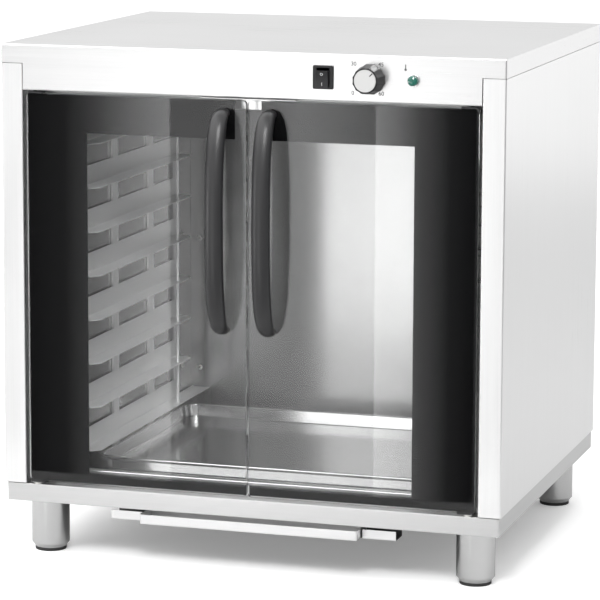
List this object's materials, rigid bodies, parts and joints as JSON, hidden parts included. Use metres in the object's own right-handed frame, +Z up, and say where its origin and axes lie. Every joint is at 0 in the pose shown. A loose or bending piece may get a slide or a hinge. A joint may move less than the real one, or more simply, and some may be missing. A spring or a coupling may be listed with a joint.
{
  "type": "proofing cabinet",
  "caption": "Stainless proofing cabinet with two glass doors, bow handles, tray runners on both sides, a water pan, a thermostat knob, a switch and a pilot lamp",
  "frame": {"origin": "on the floor, at the middle of the footprint of the whole object's bounding box", "axes": "+Z up, the doors face -Y, +X to the right of someone who faces the doors"},
  "size_m": [0.8, 0.7478, 0.808],
  "materials": {
    "case_steel": "satin brushed stainless sheet",
    "cavity_steel": "bright stainless sheet of the cavity",
    "rack_steel": "folded stainless runners",
    "leg_steel": "satin stainless tube",
    "screw_steel": "plain steel",
    "chrome": "polished chrome ring",
    "silver_disc": "satin silver disc",
    "glass": "clear toughened glass",
    "black_film": "black print on the glass",
    "black_plastic": "black moulded plastic",
    "black_metal": "black painted hinge",
    "black_rubber": "black rubber foot",
    "green_lens": "green translucent lens",
    "white_ceramic": "white insulating body",
    "copper": "copper bulb and capillary",
    "nylon": "white bearing plastic"
  },
  "bodies": {
    "cabinet": {"back_panel": "case_steel", "base_frame": "case_steel", "bulb_clip": "screw_steel", "cable_gland": "black_plastic", "cavity_back_wall": "cavity_steel", "cavity_ceiling": "cavity_steel", "cavity_floor": "cavity_steel", "drip_tray_holder": "case_steel", "element_support": "screw_steel", "front_frame": "cavity_steel", "front_left_leg": "leg_steel", "front_right_leg": "leg_steel", "heating_element": "screw_steel", "lamp_body": "chrome", "lamp_lens": "green_lens", "left_cavity_wall": "cavity_steel", "left_lower_bushing": "nylon", "left_magnet_catch": "black_plastic", "left_side_panel": "case_steel", "left_tray_rack": "rack_steel", "left_upper_bushing": "nylon", "rear_left_leg": "leg_steel", "rear_right_leg": "leg_steel", "right_cavity_wall": "cavity_steel", "right_lower_bushing": "nylon", "right_magnet_catch": "black_plastic", "right_side_panel": "case_steel", "right_tray_rack": "rack_steel", "right_upper_bushing": "nylon", "switch_body": "black_plastic", "terminal_block": "white_ceramic", "thermostat_body": "white_ceramic", "thermostat_bulb": "copper", "top_cover": "case_steel"},
    "left_door": {"left_door_border": "black_film", "left_door_glass": "glass", "left_door_handle": "black_plastic", "left_handle_lower_screw": "screw_steel", "left_handle_upper_screw": "screw_steel", "left_lower_hinge": "black_metal", "left_strike_plate": "screw_steel", "left_upper_hinge": "black_metal"},
    "right_door": {"right_door_border": "black_film", "right_door_glass": "glass", "right_door_handle": "black_plastic", "right_handle_lower_screw": "screw_steel", "right_handle_upper_screw": "screw_steel", "right_lower_hinge": "black_metal", "right_strike_plate": "screw_steel", "right_upper_hinge": "black_metal"},
    "knob": {"control_knob": "black_plastic", "knob_disc": "silver_disc", "thermostat_shaft": "screw_steel"},
    "rocker": {"switch_rocker": "black_plastic"},
    "pan": {"water_pan": "cavity_steel"},
    "drip": {"drip_tray": "case_steel"},
    "front_left_levelling_foot": {"front_left_foot": "black_rubber"},
    "front_right_levelling_foot": {"front_right_foot": "black_rubber"},
    "rear_left_levelling_foot": {"rear_left_foot": "black_rubber"},
    "rear_right_levelling_foot": {"rear_right_foot": "black_rubber"}
  },
  "joints": [
    {"name": "left_door_hinge", "type": "hinge", "parent": "cabinet", "child": "left_door", "pos_m": [-0.347, -0.3067, 0.4275], "axis": [0, 0, -1], "range_deg": [0, 110]},
    {"name": "right_door_hinge", "type": "hinge", "parent": "cabinet", "child": "right_door", "pos_m": [0.347, -0.3067, 0.4275], "axis": [0, 0, 1], "range_deg": [0, 110]},
    {"name": "knob_turn", "type": "hinge", "parent": "cabinet", "child": "knob", "pos_m": [0.1925, -0.3161, 0.7718], "axis": [0, 1, 0], "range_deg": [-180, 90]},
    {"name": "rocker_tilt", "type": "hinge", "parent": "cabinet", "child": "rocker", "pos_m": [0.1195, -0.3114, 0.7724], "axis": [-1, 0, 0], "range_deg": [0, 18]},
    {"name": "water_pan_slide", "type": "slide", "parent": "cabinet", "child": "pan", "axis": [0, -1, 0], "range_m": [0, 0.08]},
    {"name": "drip_tray_slide", "type": "slide", "parent": "cabinet", "child": "drip", "axis": [0, -1, 0], "range_m": [0, 0.05]},
    {"name": "front_left_foot_screw", "type": "slide", "parent": "cabinet", "child": "front_left_levelling_foot", "axis": [0, 0, -1], "range_m": [0, 0.015]},
    {"name": "front_right_foot_screw", "type": "slide", "parent": "cabinet", "child": "front_right_levelling_foot", "axis": [0, 0, -1], "range_m": [0, 0.015]},
    {"name": "rear_left_foot_screw", "type": "slide", "parent": "cabinet", "child": "rear_left_levelling_foot", "axis": [0, 0, -1], "range_m": [0, 0.015]},
    {"name": "rear_right_foot_screw", "type": "slide", "parent": "cabinet", "child": "rear_right_levelling_foot", "axis": [0, 0, -1], "range_m": [0, 0.015]}
  ]
}
